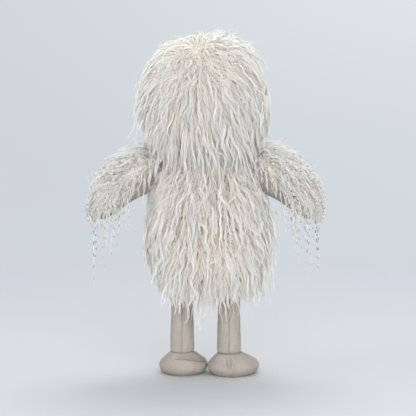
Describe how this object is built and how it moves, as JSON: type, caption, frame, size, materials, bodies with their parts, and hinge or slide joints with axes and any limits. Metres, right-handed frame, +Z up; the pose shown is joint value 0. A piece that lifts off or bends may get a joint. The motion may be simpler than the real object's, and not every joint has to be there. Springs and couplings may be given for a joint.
{
  "type": "plush owl",
  "caption": "Standing plush owl with long shaggy pile on head and torso, drooping stuffed wings edged with a thread fringe, linen legs and weighted flat feet.",
  "frame": {"origin": "on the floor, below the middle of the owl", "axes": "+Z up; the owl faces -Y, so its left wing is at +X"},
  "size_m": [0.2836, 0.1406, 0.417],
  "materials": {
    "pile": "cream long-pile yarn fabric in wavy tapered locks",
    "thread_pile": "cream hairy yarn with short dark-grey flecks",
    "linen": "plain woven beige linen",
    "felt": "short brushed felt",
    "beak_linen": "plain woven brown linen",
    "filling": "white polyester fibre",
    "pellets": "plastic pellets in a bag",
    "board": "stiff insole board",
    "wire": "drawn wire",
    "eye": "polished dark plastic",
    "washer": "moulded"
  },
  "bodies": {
    "torso": {"torso_back_pile": "pile", "torso_front_pile": "pile", "torso_stuffing": "filling", "torso_base_panel": "linen"},
    "head": {"head_back_pile": "pile", "head_front_pile": "pile", "head_stuffing": "filling", "beak": "beak_linen", "left_face_disc": "felt", "right_face_disc": "felt", "left_eye": "eye", "right_eye": "eye", "left_eye_washer": "washer", "right_eye_washer": "washer"},
    "left_wing": {"left_wing_cover": "thread_pile", "left_wing_lining": "linen", "left_wing_stuffing": "filling"},
    "right_wing": {"right_wing_cover": "thread_pile", "right_wing_lining": "linen", "right_wing_stuffing": "filling"},
    "left_fringe": {"left_wing_fringe": "thread_pile"},
    "right_fringe": {"right_wing_fringe": "thread_pile"},
    "left_leg": {"left_leg_sleeve": "linen", "left_leg_stuffing": "filling", "left_leg_stay": "wire", "left_foot_upper": "linen", "left_foot_sole": "linen", "left_foot_insole": "board", "left_foot_weight": "pellets"},
    "right_leg": {"right_leg_sleeve": "linen", "right_leg_stuffing": "filling", "right_leg_stay": "wire", "right_foot_upper": "linen", "right_foot_sole": "linen", "right_foot_insole": "board", "right_foot_weight": "pellets"}
  },
  "joints": [
    {"name": "head_turn", "type": "hinge", "parent": "torso", "child": "head", "pos_m": [0, 0, 0.268], "axis": [0, 0, 1], "range_deg": [-30, 30], "stiffness_Nm_per_rad": 0.3},
    {"name": "left_wing_lift", "type": "hinge", "parent": "torso", "child": "left_wing", "pos_m": [0.05975, 0, 0.259], "axis": [0, -1, 0], "range_deg": [-8, 45], "stiffness_Nm_per_rad": 0.2, "springref_deg": 1.83, "deforming": ["left_wing_fringe"]},
    {"name": "right_wing_lift", "type": "hinge", "parent": "torso", "child": "right_wing", "pos_m": [-0.05975, 0, 0.259], "axis": [0, 1, 0], "range_deg": [-8, 45], "stiffness_Nm_per_rad": 0.2, "springref_deg": 1.83, "deforming": ["right_wing_fringe"]},
    {"name": "left_fringe_hang", "type": "hinge", "parent": "left_wing", "child": "left_fringe", "pos_m": [0.12, 0, 0.214], "axis": [0, -1, 0], "range_deg": [-45, 8], "deforming": ["left_wing_fringe"]},
    {"name": "right_fringe_hang", "type": "hinge", "parent": "right_wing", "child": "right_fringe", "pos_m": [-0.12, 0, 0.214], "axis": [0, 1, 0], "range_deg": [-45, 8], "deforming": ["right_wing_fringe"]},
    {"name": "left_hip_swing", "type": "hinge", "parent": "torso", "child": "left_leg", "pos_m": [0.0285, 0, 0.107], "axis": [-1, 0, 0], "range_deg": [-20, 30], "stiffness_Nm_per_rad": 1.5},
    {"name": "right_hip_swing", "type": "hinge", "parent": "torso", "child": "right_leg", "pos_m": [-0.0285, 0.007, 0.107], "axis": [-1, 0, 0], "range_deg": [-20, 30], "stiffness_Nm_per_rad": 1.5}
  ],
  "couplings": [
    {"joint": "left_fringe_hang", "follows": "left_wing_lift", "ratio": -1},
    {"joint": "right_fringe_hang", "follows": "right_wing_lift", "ratio": -1}
  ]
}
